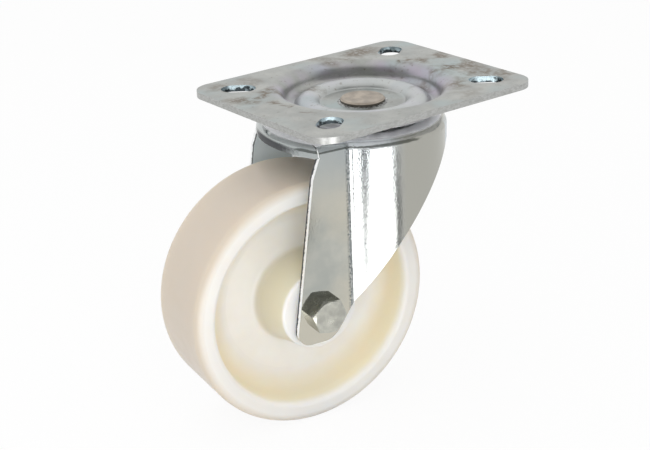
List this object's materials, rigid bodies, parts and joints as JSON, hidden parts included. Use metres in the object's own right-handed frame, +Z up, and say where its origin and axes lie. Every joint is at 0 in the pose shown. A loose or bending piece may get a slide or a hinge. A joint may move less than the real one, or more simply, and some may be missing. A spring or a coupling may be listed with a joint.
{
  "type": "swivel castor",
  "caption": "Swivel castor with a slotted, dished top plate, a pressed zinc-plated fork on a double ball race and a solid white nylon wheel on a bolted axle.",
  "frame": {"origin": "centre of the top plate's upper face, on the swivel axis", "axes": "+Z up out of the plate's top face along the swivel axis, +X along the plate's long side away from the trailing wheel, +Y along the plate's short side"},
  "size_m": [0.138, 0.085, 0.1281],
  "materials": {
    "plate_zinc": "zinc-plated pressed steel, satin, with faint passivation tints and brown stains",
    "fork_zinc": "zinc-plated pressed steel, bright, finely mottled",
    "race_zinc": "zinc-plated pressed steel",
    "bolt_zinc": "zinc-plated steel",
    "pin_steel": "bare steel with a tan bloom",
    "sleeve_steel": "drawn steel tube",
    "ball_steel": "polished bearing steel, greased",
    "wheel_nylon": "natural white nylon, slightly translucent, satin",
    "lock_ring_plastic": "plain nylon"
  },
  "bodies": {
    "plate": {"top_plate": "plate_zinc", "king_pin": "pin_steel", "lower_race": "race_zinc"},
    "fork": {"fork": "fork_zinc", "axle_bolt": "bolt_zinc", "axle_nut": "bolt_zinc", "nut_lock_ring": "lock_ring_plastic", "axle_sleeve": "sleeve_steel"},
    "wheel": {"wheel": "wheel_nylon"},
    "balls": {"upper_ball_01": "ball_steel", "upper_ball_02": "ball_steel", "upper_ball_03": "ball_steel", "upper_ball_04": "ball_steel", "upper_ball_05": "ball_steel", "upper_ball_06": "ball_steel", "upper_ball_07": "ball_steel", "upper_ball_08": "ball_steel", "upper_ball_09": "ball_steel", "upper_ball_10": "ball_steel", "upper_ball_11": "ball_steel", "upper_ball_12": "ball_steel", "upper_ball_13": "ball_steel", "upper_ball_14": "ball_steel", "upper_ball_15": "ball_steel", "upper_ball_16": "ball_steel", "upper_ball_17": "ball_steel", "upper_ball_18": "ball_steel", "upper_ball_19": "ball_steel", "upper_ball_20": "ball_steel", "lower_ball_01": "ball_steel", "lower_ball_02": "ball_steel", "lower_ball_03": "ball_steel", "lower_ball_04": "ball_steel", "lower_ball_05": "ball_steel", "lower_ball_06": "ball_steel", "lower_ball_07": "ball_steel", "lower_ball_08": "ball_steel", "lower_ball_09": "ball_steel", "lower_ball_10": "ball_steel", "lower_ball_11": "ball_steel", "lower_ball_12": "ball_steel", "lower_ball_13": "ball_steel", "lower_ball_14": "ball_steel", "lower_ball_15": "ball_steel"}
  },
  "joints": [
    {"name": "swivel", "type": "hinge", "parent": "plate", "child": "fork", "pos_m": [0, 0, 0], "axis": [0, 0, 1], "continuous": true},
    {"name": "wheel_spin", "type": "hinge", "parent": "fork", "child": "wheel", "pos_m": [-0.03397, 0.00477, -0.07807], "axis": [0.1392, 0.9903, 0], "continuous": true},
    {"name": "ball_orbit", "type": "hinge", "parent": "plate", "child": "balls", "pos_m": [0, 0, 0], "axis": [0, 0, 1], "continuous": true}
  ],
  "couplings": [
    {"joint": "ball_orbit", "follows": "swivel", "ratio": 0.5}
  ]
}
